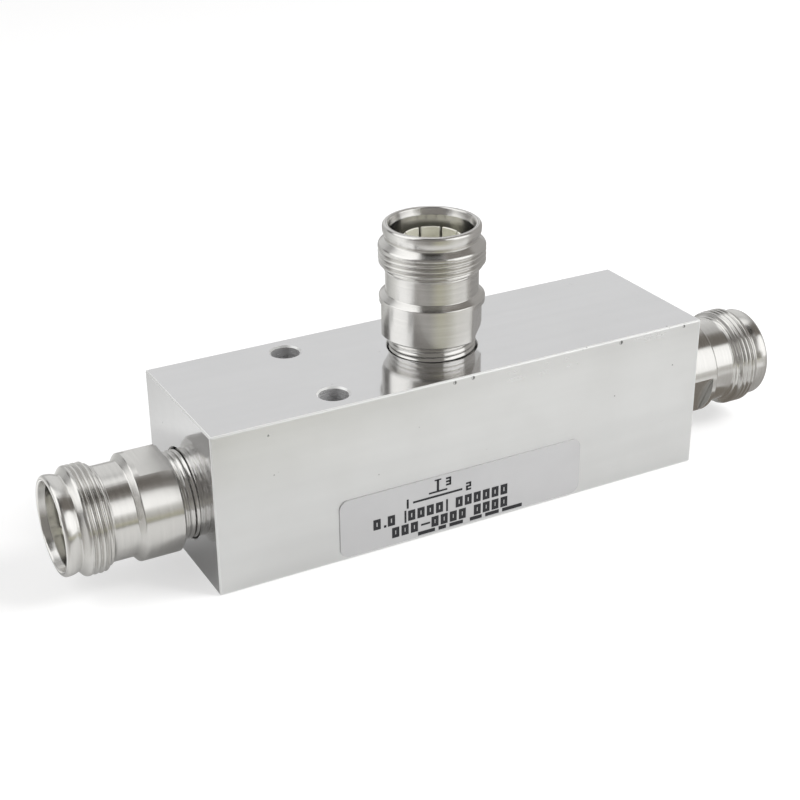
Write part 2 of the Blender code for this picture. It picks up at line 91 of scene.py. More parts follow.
# Small dents by the front top edge: x, depth below the top, share of the largest size
EDGE_NICKS = (
    (0.0322, 0.00078, 1.0),
    (-0.0002, 0.00062, 0.9),
    (-0.0040, 0.00072, 0.9),
    (0.0469, 0.00055, 0.8),
    (-0.0405, 0.0021, 0.5),
)

# The label's print, in millimetres: x, z, width and height of each bar of the line's drawing
PRINT_DRAWING = (
    (-12.8, 8.05, 10.4, 0.42),
    (-9.5, 9.0, 3.9, 0.36),
    (-7.85, 9.3, 0.5, 2.4),
    (-8.3, 11.45, 1.4, 0.28),
)
# Port numbers: number, x, z, width, height, line
PRINT_NUMBERS = (
    ("1", -14.8, 7.3, 1.1, 1.9, 0.42),
    ("2", -1.6, 7.7, 1.1, 1.7, 0.38),
    ("3", -5.9, 9.9, 1.1, 1.7, 0.38),
)
# Rows of marks: x, z, height, line, pattern
PRINT_ROWS = (
    (-21.0, 4.65, 2.15, 0.64, "o.o (oooo) oooooo"),
    (-17.2, 1.95, 2.15, 0.66, "ooo-oooo oooo"),
)
PRINT_PITCH = {"o": 1.95, ".": 1.0, "(": 0.95, ")": 0.95, "-": 2.4, " ": 1.3}
PRINT_FOOT = (-11.8, 0.95, 0.75, (3.6, 1.6, 2.9, 0.0, 2.6, 3.0, 4.4))  # x, z, height and gap, widths

# Light round the object, each over those before it: turn, height, reach and softness in degrees, colour
WHITE = (1.25, 1.25, 1.25)
SURROUNDINGS = (
    (62, 27, 30.0, 9.0, (0.74, 0.74, 0.74)),
    (10, 15, 34.0, 5.0, (0.38, 0.37, 0.36)),
    (-120, 80, 33.0, 8.0, (1.0, 1.0, 1.0)),
    (-33, 52, 26.0, 8.0, (0.17, 0.155, 0.14)),
    (168, 42, 32.0, 5.0, WHITE),
    (122, 24, 10.0, 4.0, (0.12, 0.115, 0.11)),
    (-160, 6, 15.0, 5.0, (0.13, 0.125, 0.13)),
    (-121, 30, 36.0, 4.0, (0.22, 0.21, 0.20)),
    (-56, 19, 29.5, 3.0, WHITE),
    (-120, 73, 17.5, 4.0, (0.03, 0.028, 0.026)),
    (-86, 1, 15.0, 7.0, (0.25, 0.24, 0.21)),
)
BACKDROP = (0.93, 0.93, 0.93, 1.0)  # what the camera itself sees behind the floor

# The room that the polished faces mirror beyond the floor's sheet: degrees round the object, colour
ROOM = (
    (-180.0, (0.76, 0.76, 0.75)),
    (-164.0, (0.54, 0.53, 0.52)),
    (-150.0, (0.37, 0.36, 0.35)),
    (-124.0, (0.27, 0.26, 0.245)),
    (-103.0, (0.42, 0.41, 0.31)),
    (-88.0, (0.45, 0.44, 0.37)),
    (-64.0, (0.66, 0.65, 0.62)),
    (-44.0, (0.60, 0.59, 0.57)),
    (-6.0, (0.37, 0.36, 0.35)),
    (60.0, (0.36, 0.35, 0.34)),
    (110.0, (0.48, 0.48, 0.47)),
    (132.0, (0.66, 0.66, 0.65)),
    (149.0, (0.86, 0.86, 0.85)),
    (160.0, (1.06, 1.06, 1.05)),
    (172.0, (1.0, 1.0, 0.99)),
)
# Painted shadow: a dark card in the floor, seen only in mirrored rays, stands in for the connector's shadow
# that the output's spanner flat mirrors
SHADOW_CARD_PLACE = (0.0655, -0.009, 0.0)  # a dark card below the output connector, for mirrored rays only
SHADOW_CARD_COLOUR = (0.19, 0.172, 0.15, 1.0)
BLACK = (0.0, 0.0, 0.0, 1.0)


def length(name, default):
    """A size in metres, shown in the scene's units."""
    hint = name + ", in metres"
    return FloatProperty(name=name, description=hint, default=default, min=0.0, unit="LENGTH", precision=5)


def height_of(what, default):
    """A place on a connector's axis, from the bar's face outwards."""
    return length("Height of the " + what, default)


def radius_of(what, default):
    """A distance from an axis."""
    return length("Radius of the " + what, default)


def angle(name, degrees):
    """An angle, kept in radians and shown in degrees."""
    hint = name + ", in degrees"
    return FloatProperty(name=name, description=hint, default=math.radians(degrees), subtype="ANGLE")


def number(name, unit, default, low=0.0):
    """A plain number in the named unit."""
    return FloatProperty(name=name, description=name + ", in " + unit, default=default, min=low)


def gloss(what, default):
    """A roughness from 0, a mirror, to 1, matt."""
    name = "Roughness of the " + what
    hint = name + ", from 0 to 1"
    return FloatProperty(name=name, description=hint, default=default, min=0.0, max=1.0, subtype="FACTOR")


def colour(name, description, default):
    """A linear colour."""
    limits = {"min": 0.0, "max": 1.0}
    return FloatVectorProperty(name=name, description=description, default=default, subtype="COLOR", **limits)


class TapperConnectorSizes(PropertyGroup):
    """Sizes of one connector. Heights run outwards from the bar's face."""

    lip_face: height_of("lip's face", 0.0242)
    lip_radius: radius_of("lip", 0.00907)
    lip_round: length("Rounding of the lip's outer edge", 0.00065)
    lip_back: height_of("start of the lip's taper", 0.0226)
    pilot_front: height_of("pilot's front", 0.0215)
    pilot_back: height_of("pilot's back", 0.0213)
    thread_front: height_of("thread's front corner", 0.0203)
    thread_round: length("Rounding of the thread's front corner", 0.0007)
    thread_land: height_of("start of the thread's grooves", 0.0198)
    thread_back: height_of("start of the run-out", 0.0170)
    waist_front: height_of("waist's front", 0.0153)
    waist_back: height_of("waist's back", 0.0112)
    waist_round: length("Rounding at the foot of the shoulder", 0.0002)
    barrel_front: height_of("barrel's front corner", 0.0103)
    barrel_round: length("Rounding of the barrel's front corner", 0.0003)
    flat_front: height_of("spanner flats' front", 0.0093)
    barrel_back: height_of("barrel's back", 0.0030)
    neck_end: length("Depth of the neck below the bar's face", 0.0069)
    seal_top: length("Depth of the seal's groove below the bar's face", 0.0013)
    seal_bottom: length("Depth of the groove's far side", 0.0029)
    seal_radius: radius_of("seal groove's floor", 0.00705)
    thread_radius: radius_of("coupling thread's crests", 0.00988)
    thread_depth: length("Depth of the coupling thread", 0.00046)
    thread_pitch: length("Distance from crest to crest", 0.0010)
    waist_radius: radius_of("waist and the pilot", 0.00864)
    barrel_radius: radius_of("barrel", 0.0098)
    barrel_chamfer: length("Chamfer of the barrel's back edge", 0.00035)
    flat_radius: radius_of("spanner flats", 0.0085)
    neck_radius: radius_of("crests of the neck's thread", 0.00815)
    neck_thread_depth: length("Depth of the neck's thread", 0.00022)
    mouth_radius: radius_of("mouth", 0.00776)
    mouth_floor: height_of("mouth's floor", 0.0120)
    mouth_flare: length("How far the mouth opens beyond its radius", 0.0003)
    mouth_lead: length("Depth of the opening lead in the mouth", 0.0013)
    mouth_step: length("How far the wall steps in below the lead", 0.00005)
    mouth_taper: length("How far the wall closes in further down", 0.0001)
    ledge_radius: radius_of("insulator's seat", 0.0063)
    ledge: height_of("insulator's ledge", 0.0087)
    inner_radius: radius_of("bore behind the insulator", 0.0049)
    basket_inner: radius_of("basket's inside", 0.0050)
    basket_outer: radius_of("fingers' outside", 0.0054)
    basket_bead: radius_of("fingertips' bead", 0.00555)
    basket_rim: height_of("fingertips", 0.0214)
    slot_width: length("Width of the slots between the fingers", 0.00055)
    slot_root: height_of("slots' roots", 0.0150)
    contact_radius: radius_of("centre contact", 0.00215)
    contact_tip: height_of("centre contact's tip", 0.0196)
    input_flats: angle("Turn of the input's spanner flats", -1.5)
    output_flats: angle("Turn of the output's spanner flats", 114.5)
    tap_flats: angle("Turn of the tap's spanner flats", -41.0)
    thread_start: angle("Side on which the tap's groove shows its full depth first", -118.0)
    steps: IntProperty(name="Steps", description="Sides of the turned forms", default=144, min=24, max=360)
    fingers: IntProperty(name="Fingers", description="Slots in the spring basket", default=8, min=2, max=24)
    finger_turn: angle("Turn of the slots from the spanner flats", 15.0)


class TapperBarSizes(PropertyGroup):
    """Sizes of the bar's own detail."""

    edge: length("Rounding of the bar's edges", 0.00035)
    bore_radius: radius_of("main line's bore", 0.00635)
    seat_radius: radius_of("connectors' seats", 0.00845)
    seat_depth: length("Depth of a connector's seat", 0.0072)
    hole_radius: radius_of("mounting holes", 0.0027)
    hole_offset: length("From the middle plane to a hole's axis", 0.0102)
    hole_from_end: length("From the input end to the holes' axes", 0.0255)
    hole_chamfer: length("Chamfer at the holes' mouths", 0.00032)
    nick: length("Radius of the largest nick by the front top edge", 0.00042)
    label_corner: radius_of("label's corners", 0.0018)


class TapperFinish(PropertyGroup):
    """Colours and gloss."""

    milled_colour: colour("Milled aluminium", "Top face and ends of the bar", (0.83, 0.83, 0.835))
    milled_roughness: gloss("milled faces", 0.08)
    drawn_colour: colour("Drawn aluminium", "Front, back and bottom of the bar", (0.87, 0.875, 0.867))
    drawn_roughness: gloss("drawn faces", 0.30)
    shell_colour: colour("Plated shell", "Connector shells", (0.81, 0.80, 0.775))
    shell_roughness: gloss("shells", 0.20)
    bore_roughness: gloss("bored and drilled walls", 0.24)
    silver_colour: colour("Silver plate", "Contacts and conductors", (0.98, 0.965, 0.87))
    silver_roughness: gloss("contacts", 0.36)
    insulator_colour: colour("Insulator", "White insulating beads", (0.86, 0.86, 0.84))
    seal_colour: colour("Seal", "Black seals", (0.015, 0.015, 0.016))
    label_colour: colour("Label film", "Grey label film", (0.56, 0.56, 0.565))
    ink_colour: colour("Ink", "Print on the label", (0.02, 0.02, 0.022))
    floor_colour: colour("Floor", "Pale studio floor", (0.46, 0.46, 0.46))
    floor_lift: colour("Floor lift", "Light that the floor adds of its own", (0.56, 0.56, 0.56))
    sheet_colour: colour("Mirrored floor", "The floor as the polished faces mirror it", (0.52, 0.52, 0.517))
    sheet_lift: colour("Mirrored lift", "Light that the mirrored floor adds", (0.09, 0.09, 0.09))


class TapperStage(PropertyGroup):
    """Camera and lights."""

    azimuth: angle("Camera's turn round the object", -28.114)
    elevation: angle("Camera's height above the horizon", 26.076)
    roll: angle("Camera's turn about its own view", -0.535)
    distance: length("From the camera to its target", 0.295057)
    target: FloatVectorProperty(
        name="Target",
        description="Point that the camera looks at",
        default=(-0.006879, 0.0, 0.020934),
        subtype="TRANSLATION",
    )
    lens: number("Focal length", "millimetres", 70.51, 10.0)
    key_power: number("Power of the key light", "watts", 5.0)
    fill_power: number("Power of the fill light", "watts", 0.8)
    world_level: number("Brightness of the surroundings", "shares of white", 0.50)


class TapperSettings(PropertyGroup):
    """Everything that a user may change."""

    connector: PointerProperty(type=TapperConnectorSizes)
    bar: PointerProperty(type=TapperBarSizes)
    finish: PointerProperty(type=TapperFinish)
    stage: PointerProperty(type=TapperStage)


# Places


def port_place(port):
    """A connector's own space: +Z points out of the bar, and X is upright on the ends."""
    if port == "tap":
        return Matrix.Translation((0.0, 0.0, BAR_HIGH[2]))
    side = -1.0 if port == "input" else 1.0
    outwards, up = Vector((side, 0.0, 0.0)), Vector((0.0, 0.0, 1.0))
    axes = Matrix((up, outwards.cross(up), outwards)).transposed().to_4x4()
    return Matrix.Translation((BAR_LOW[0] if side < 0 else BAR_HIGH[0], 0.0, LINE_HEIGHT)) @ axes


def flat_turn(s, port):
    """The turn of a connector's spanner flats."""
    return getattr(s, port + "_flats")


def show(name, data):
    """Put a new object into the scene."""
    item = bpy.data.objects.new(name, data)
    bpy.context.scene.collection.objects.link(item)
    return item


def add_piece(name, mesh, material, node, place=None):
    """Show a mesh in place of a CAD node, riding on the part's one body."""
    piece = show(name, mesh)
    if place is not None:
        piece.matrix_world = place
    if not mesh.materials:
        mesh.materials.append(material)
    bpy.context.view_layer.update()
    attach(piece, "root")
    if node:
        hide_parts(node)
    return piece


# Meshes


@contextmanager
def new_mesh(name, points=(), faces=()):
    """Make a mesh, and open it for editing."""
    mesh = bpy.data.meshes.new(name)
    mesh.from_pydata(points, [], faces)
    bm = bmesh.new()
    bm.from_mesh(mesh)
    yield mesh, bm
    bm.to_mesh(mesh)
    bm.free()


def rings_to_mesh(name, rings):
    """Skin a closed stack of rings of points round an axis."""
    count, around = len(rings), len(rings[0])
    faces = []
    for i in range(count):
        low, high = i * around, (i + 1) % count * around
        for j in range(around):
            k = (j + 1) % around
            faces.append((low + j, high + j, high + k, low + k))
    with new_mesh(name, np.concatenate(rings).tolist(), faces) as (mesh, bm):
        bmesh.ops.remove_doubles(bm, verts=bm.verts, dist=MERGE)
        bmesh.ops.dissolve_degenerate(bm, edges=bm.edges, dist=MERGE)
    return mesh


def shade(mesh, limit, smooth_zone=None):
    """Smooth shading with sharp edges past the limit, but none where smooth_zone says so."""
    mesh.shade_smooth()
    mesh.set_sharp_from_angle(angle=limit)
    if smooth_zone is None:
        return
    inside = smooth_zone(np.array([vert.co for vert in mesh.vertices], dtype=np.float32))
    for edge in mesh.edges:
        if inside[edge.vertices[0]] and inside[edge.vertices[1]]:
            edge.use_edge_sharp = False


def groove_depth(phase, opening):
    """Depth of a thread's groove over one pitch, from 0 to 1. The crest takes what the opening leaves."""
    off_centre = np.abs(phase - np.floor(phase) - 0.5) * 2
    wall = np.clip(1 - off_centre / opening, 0, 1)
    return 0.5 * wall + 0.5 * wall * (2 - wall)


def fade(height, start, end):
    """A smooth step from 0 at start to 1 at end."""
    step = np.clip((height - start) / (end - start), 0, 1)
    return step * step * (3 - 2 * step)


def turned_angles(s, flats):
    """Angles round the shell: even steps, and the corners of the spanner flats."""
    corners = []
    for radius in (s.barrel_radius, s.barrel_radius - s.barrel_chamfer):
        half = math.acos(s.flat_radius / radius)
        corners += [half, math.pi - half, math.pi + half, FULL_TURN - half]
    even = np.arange(s.steps) * 2 * math.pi / s.steps
    crowded = 0.3 / s.steps
    clear = [a for a in even if min(abs(a - c) for c in corners) > crowded]
    return np.array(sorted(clear + corners)) + flats


def rounded(before, corner, after, size, steps):
    """Points that round a corner of a profile, with a guard point on each straight side."""
    corner = Vector(corner)
    back, onward = Vector(before) - corner, Vector(after) - corner
    near, far = back.length, onward.length
    back.normalize()
    onward.normalize()
    half = back.angle(onward) / 2
    reach = min(size / math.tan(half), 0.9 * near, 0.9 * far)
    size = reach * math.tan(half)
    centre = corner + (back + onward).normalized() * size / math.sin(half)
    first, last = corner + back * reach, corner + onward * reach
    arms = [(first - centre).slerp(last - centre, i / steps).normalized() for i in range(steps + 1)]
    points = [first + back * min(GUARD, 0.05 * near), *(centre + arm * size for arm in arms)]
    points.append(last + onward * min(GUARD, 0.05 * far))
    return [(p.x, p.y) for p in points]


def ring(angles, radius, height):
    """A ring of points; the radius may differ from point to point."""
    radius = np.broadcast_to(radius, angles.shape)
    return np.stack([radius * np.cos(angles), radius * np.sin(angles), np.full(angles.shape, height)], axis=1)


def shell_rings(s, flats, phase):
    """The shell's surface from the mouth's edge down the outside and back up the inside."""
    angles = turned_angles(s, flats)
    flat_reach = s.flat_radius / np.maximum(np.abs(np.cos(angles - flats)), 1e-3)
    helix = angles / FULL_TURN
    rings = []

    def plain(radius, height):
        rings.append(ring(angles, radius, height))

    def with_flats(radius, height):
        rings.append(ring(angles, np.minimum(radius, flat_reach), height))

    def threaded(radius, height, depth, opening, *fades):
        grooves = groove_depth(height / s.thread_pitch - helix - phase, opening)
        for part in fades:
            grooves = grooves * part
        plain(radius - depth * grooves, height)

    # The outside from the mouth's edge to the waist: each corner with its rounding and steps
    corners = [
        ((s.mouth_radius, s.lip_face - s.mouth_lead), None, 0),
        ((s.mouth_radius + s.mouth_flare, s.lip_face), 0.0004, 4),
        ((s.lip_radius, s.lip_face), s.lip_round, 6),
        ((s.lip_radius, s.lip_back), 0.0040, 5),
        ((s.waist_radius, s.pilot_front), 0.0002, 2),
        ((s.waist_radius, s.pilot_back), 0.0001, 3),
        ((s.thread_radius, s.thread_front), s.thread_round, 6),
        ((s.thread_radius, s.waist_front), None, 0),
    ]

    def bends(corners):
        for before, (corner, size, steps), after in zip(corners, corners[1:], corners[2:]):
            for radius, height in rounded(before[0], corner, after[0], size, steps):
                plain(radius, height)

    bends(corners)
    rows = int((s.thread_land - s.waist_front) / THREAD_ROW)
    for height in np.linspace(s.thread_land + 0.00012, s.waist_front, rows):
        slope = (height - s.waist_front) / (s.thread_back - s.waist_front)
        radius = min(s.thread_radius, s.waist_radius + slope * (s.thread_radius - s.waist_radius))
        run_in = fade(height, s.thread_land + HAIR, s.thread_land - 3 * HAIR)
        run_out = fade(radius, s.waist_radius, s.waist_radius + s.thread_depth)
        threaded(radius, height, s.thread_depth, THREAD_OPENING, run_in, run_out)
    bends([
        ((s.waist_radius, s.waist_front), None, 0),
        ((s.waist_radius, s.waist_back), s.waist_round, 4),
        ((s.barrel_radius, s.barrel_front), s.barrel_round, 6),
        ((s.barrel_radius, s.barrel_back), None, 0),
    ])
    plain(s.barrel_radius, s.flat_front)
    with_flats(s.barrel_radius, s.flat_front)
    with_flats(s.barrel_radius, s.barrel_back + s.barrel_chamfer)
    with_flats(s.barrel_radius - s.barrel_chamfer, s.barrel_back)
    rows = int((s.barrel_back - NECK_THREAD_END) / NECK_ROW)
    for height in np.linspace(s.barrel_back, NECK_THREAD_END, rows):
        run_in = fade(height, s.barrel_back - HAIR, s.barrel_back - 5 * HAIR)
        threaded(s.neck_radius, height, s.neck_thread_depth, NECK_OPENING, run_in)
    lead_end = s.lip_face - s.mouth_lead
    wall = s.mouth_radius - s.mouth_step
    narrow = wall - s.mouth_taper
    inside = [
        (s.neck_radius, -s.seal_top),
        (s.seal_radius, -s.seal_top),
        (s.seal_radius, -s.seal_bottom),
        (s.neck_radius, -s.seal_bottom),
        (s.neck_radius, -s.neck_end),
        (s.inner_radius, -s.neck_end),
        (s.inner_radius, s.ledge),
        (s.ledge_radius, s.ledge),
        (s.ledge_radius, s.mouth_floor),
        (narrow, s.mouth_floor),
        (narrow, s.lip_face - 2.3 * s.mouth_lead),
        (narrow, s.lip_face - 2.2 * s.mouth_lead),
        (wall, lead_end - HAIR),
        (s.mouth_radius, lead_end),
    ]
    for radius, height in inside:
        plain(radius, height)
    return rings


def turned_mesh(name, outline, steps):
    """Turn a profile of (radius, height) points, given from the top down, about Z."""
    angles = np.arange(steps) * 2 * math.pi / steps
    return rings_to_mesh(name, [ring(angles, radius, height) for radius, height in outline])


def plug(name, levels, sides=BORE_SIDES):
    """A solid of revolution, its (radius, height) levels from the top down, closed at both ends."""
    return turned_mesh(name, [(0.0, levels[0][1]), *levels, (0.0, levels[-1][1])], sides)


def cut_away(name, mesh, cutter_meshes, rounding=None):
    """A new mesh: the given one with its edges rounded if asked, less cutters given as (mesh, matrix)."""
    body = show("body", mesh)
    if rounding:
        bevel = body.modifiers.new("rounding", "BEVEL")
        bevel.width, bevel.segments = rounding, 3
    cutters = []
    for cutter_mesh, matrix in cutter_meshes:
        cutter = show("cutter", cutter_mesh)
        cutter.matrix_world = matrix
        cutters.append(cutter)
        cut = body.modifiers.new("cut", "BOOLEAN")
        cut.operation, cut.solver, cut.object = "DIFFERENCE", "EXACT", cutter
    bpy.context.view_layer.update()
    graph = bpy.context.evaluated_depsgraph_get()
    result = bpy.data.meshes.new_from_object(body.evaluated_get(graph))
    result.name = name
    result.materials.clear()
    for helper in (body, *cutters):
        bpy.data.objects.remove(helper)
    return result


def box_mesh(name, boxes):
    """A mesh of separate boxes, each given by its size and matrix."""
    with new_mesh(name) as (mesh, bm):
        for size, matrix in boxes:
            bmesh.ops.create_cube(bm, size=1.0, matrix=matrix @ Matrix.Diagonal((*size, 1.0)))
    return mesh


def spokes(count, turn, width, inner, outer, low, high):
    """Thin boxes that stand round an axis, to cut slots."""
    boxes = []
    for i in range(count):
        spin = Matrix.Rotation(FULL_TURN * (i + 0.5) / count + turn, 4, "Z")
        middle = Matrix.Translation(((inner + outer) / 2, 0.0, (low + high) / 2))
        boxes.append(((outer - inner, width, high - low), spin @ middle))
    return box_mesh("slots", boxes)


# Node groups and materials


class Nodes:
    """Short calls for building a node tree."""

    def __init__(self, tree):
        self.tree = tree

    def set(self, socket, value):
        if isinstance(value, bpy.types.NodeSocket):
            self.tree.links.new(value, socket)
        else:
            socket.default_value = value

    def add(self, kind, inputs=None, **values):
        node = self.tree.nodes.new(kind)
        for key, value in values.items():
            setattr(node, key, value)
        self.fill(node, inputs or {})
        return node

    def fill(self, node, values):
        for key, value in values.items():
            self.set(node.inputs[key], value)

    def place(self):
        return self.add("ShaderNodeTexCoord").outputs["Object"]

    def maths(self, operation, *values):
        return self.add("ShaderNodeMath", dict(enumerate(values)), operation=operation).outputs[0]

    def times(self, first, second):
        return self.maths("MULTIPLY", first, second)

    def vectors(self, operation, *values):
        return self.add("ShaderNodeVectorMath", dict(enumerate(values)), operation=operation).outputs

    def remap(self, value, low, high, to_low=0.0, to_high=1.0, kind="LINEAR"):
        span = {"Value": value, "From Min": low, "From Max": high, "To Min": to_low, "To Max": to_high}
        return self.add("ShaderNodeMapRange", span, interpolation_type=kind).outputs["Result"]

    def soft(self, value, low, high):
        return self.remap(value, low, high, kind="SMOOTHSTEP")

    def mix(self, factor, first, second):
        return self.add("ShaderNodeMix", {0: factor, 6: first, 7: second}, data_type="RGBA").outputs[2]

    def mix_numbers(self, factor, first, second):
        return self.add("ShaderNodeMix", {0: factor, 2: first, 3: second}, data_type="FLOAT").outputs[0]

    def noise(self, place, scale, detail, roughness=0.5):
        wanted = {"Vector": place, "Scale": scale, "Detail": detail, "Roughness": roughness}
        return self.add("ShaderNodeTexNoise", wanted).outputs["Fac"]

    def bump(self, height, distance):
        return self.add("ShaderNodeBump", {"Height": height, "Distance": distance}).outputs["Normal"]

    def effect(self, name, values=None):
        return self.add("ShaderNodeGroup", values, node_tree=effect_group(name)).outputs


NOISE_LOW, NOISE_HIGH = 0.3, 0.7  # most of a noise's values lie between these


def tool_lines(n, given, out):
    """Fine parallel lines left by a tool: noise that its scale stretches along the tool's path."""
    stretched = n.add("ShaderNodeMapping", {"Vector": n.place(), "Scale": given["Scale"]}).outputs["Vector"]
    broad = n.noise(stretched, 1.0, 2.0)
    fine = n.noise(stretched, 4.3, 1.0)
    n.set(out["Height"], n.mix_numbers(given["Fine Share"], broad, fine))
    n.set(out["Tone"], n.remap(broad, NOISE_LOW, NOISE_HIGH))


def handling_marks(n, given, out):
    """Soft smudges and a few small specks, as on a part that was handled."""
    place = n.place()
    cloud = n.noise(place, given["Size"], 4.0, 0.6)
    cells = n.add("ShaderNodeTexVoronoi", {"Vector": place, "Scale": given["Speck Size"]})
    dots = n.remap(cells.outputs["Distance"], 0.10, 0.18, 1.0, 0.0)
    rare = n.remap(n.noise(place, 210.0, 1.0), 0.69, 0.73)
    n.set(out["Smudge"], n.soft(cloud, 0.35, 0.70))
    n.set(out["Speck"], n.times(dots, rare))


def edge_wear(n, given, out):
    """A mask along outer and inner edges: where a rounded normal leaves the surface's own."""
    rounded_normal = n.add("ShaderNodeBevel", {"Radius": given["Width"]}, samples=4).outputs["Normal"]
    own = n.add("ShaderNodeNewGeometry").outputs["Normal"]
    alike = n.vectors("DOT_PRODUCT", rounded_normal, own)["Value"]
    n.set(out["Mask"], n.remap(alike, 0.985, 0.90))


def turned_zone(n, given, out):
    """A mask of a ring-shaped zone round the piece's own axis, with soft limits."""
    place = n.place()
    height = n.add("ShaderNodeSeparateXYZ", {"Vector": place}).outputs["Z"]
    distance = n.vectors("LENGTH", n.vectors("MULTIPLY", place, (1.0, 1.0, 0.0))[0])["Value"]
    above = n.maths("GREATER_THAN", height, given["Low"])
    below = n.maths("LESS_THAN", height, given["High"])
    inside = n.remap(distance, given["Radius In"], given["Radius Out"], 1.0, 0.0)
    n.set(out["Mask"], n.times(n.times(above, below), inside))


# Effects that several materials share: inputs with their defaults, outputs, what fills the group
EFFECTS = {
    "Tool Lines": ({"Scale": (1.0, 1.0, 1.0), "Fine Share": 0.4}, ("Height", "Tone"), tool_lines),
    "Handling Marks": ({"Size": 60.0, "Speck Size": 900.0}, ("Smudge", "Speck"), handling_marks),
    "Edge Wear": ({"Width": 0.0002}, ("Mask",), edge_wear),
    "Turned Zone": (dict.fromkeys(("Low", "High", "Radius In", "Radius Out"), 0.0), ("Mask",), turned_zone),
}


def effect_group(name):
    """The node group of a shared effect, built when it is first asked for."""
    if name in bpy.data.node_groups:
        return bpy.data.node_groups[name]
    inputs, outputs, fill = EFFECTS[name]
    group = bpy.data.node_groups.new(name, "ShaderNodeTree")
    for title, default in inputs.items():
        kind = "NodeSocketVector" if isinstance(default, tuple) else "NodeSocketFloat"
        group.interface.new_socket(title, in_out="INPUT", socket_type=kind).default_value = default
    for title in outputs:
        group.interface.new_socket(title, in_out="OUTPUT", socket_type="NodeSocketFloat")
    n = Nodes(group)
    fill(n, n.add("NodeGroupInput").outputs, n.add("NodeGroupOutput").inputs)
    return group


def start_material(name, base, roughness, metallic):
    """A Principled material and its node helper."""
    material = bpy.data.materials.new(name)
    material.use_nodes = True
    material.diffuse_color = (*base, 1.0)
    shader = material.node_tree.nodes["Principled BSDF"]
    n = Nodes(material.node_tree)
    n.fill(shader, {"Base Color": (*base, 1.0), "Roughness": roughness, "Metallic": metallic})
    return material, n, shader


def scaled(base, factor):
    """A colour made lighter or darker, as red, green, blue and alpha."""
    return tuple(min(1.0, c * factor) for c in base) + (1.0,)


def machined(name, base, roughness, scale, tone, relief, smudge, metallic, worn, turned=0.0, zones=()):
    """A machined metal: tool lines in tone and relief, smudges, specks and worn edges.

    Each zone is (low, high, inner radius, outer radius, roughness, painted shade); a painted shade
    below 1 darkens the colour where shade falls in a hollow. Turned metal draws its
    highlights out along the axis, across the lathe lines.
    """
    material, n, shader = start_material(name, base, roughness, metallic)
    lines = n.effect("Tool Lines", {"Scale": scale})
    marks = n.effect("Handling Marks")
    tint = n.mix(lines["Tone"], scaled(base, 1 - tone), scaled(base, 1 + tone))
    tint = n.mix(n.times(marks["Smudge"], 0.35), tint, scaled(base, 0.94))
    tint = n.mix(marks["Speck"], tint, scaled(base, 0.45))
    if worn:
        edge = n.effect("Edge Wear")["Mask"]
        tint = n.mix(n.times(edge, 0.5), tint, scaled(base, 1.08))
    gloss = n.remap(lines["Height"], NOISE_LOW, NOISE_HIGH, roughness * 0.85, roughness * 1.15)
    gloss = n.maths("ADD", gloss, n.times(marks["Smudge"], smudge))
    # Each zone sets its roughness and darkens the colour by its painted shade
    for low, high, near, far, zone_roughness, painted_shade in zones:
        limits = {"Low": low, "High": high, "Radius In": near, "Radius Out": far}
        mask = n.effect("Turned Zone", limits)["Mask"]
        gloss = n.mix_numbers(mask, gloss, zone_roughness)
        tint = n.mix(mask, tint, scaled(base, painted_shade))
    n.fill(shader, {"Base Color": tint, "Roughness": gloss, "Normal": n.bump(lines["Height"], relief)})
    if turned:
        tangent = n.add("ShaderNodeTangent", direction_type="RADIAL", axis="Z").outputs[0]
        n.fill(shader, {"Anisotropic": turned, "Anisotropic Rotation": 0.25, "Tangent": tangent})
    return material


def grained(name, base, tones, gloss, relief, grain, values):
    """A smooth finish over a fine grain: a noise's scale and detail, or tool marks where none is given."""
    material, n, shader = start_material(name, tuple(base), gloss[0], 0.0)
    n.fill(shader, values)
    if grain:
        height = tone = n.noise(n.place(), *grain)
    else:
        lines = n.effect("Tool Lines", {"Scale": (1500.0, 1500.0, 1500.0)})
        height, tone = lines["Height"], lines["Tone"]
    if name == "grey_film":
        tone = n.effect("Handling Marks", {"Size": 45.0})["Smudge"]
    n.set(shader.inputs["Base Color"], n.mix(tone, scaled(base, tones[0]), scaled(base, tones[1])))
    n.set(shader.inputs["Roughness"], n.remap(height, NOISE_LOW, NOISE_HIGH, *gloss))
    if relief:
        n.set(shader.inputs["Normal"], n.bump(height, relief))
    return material


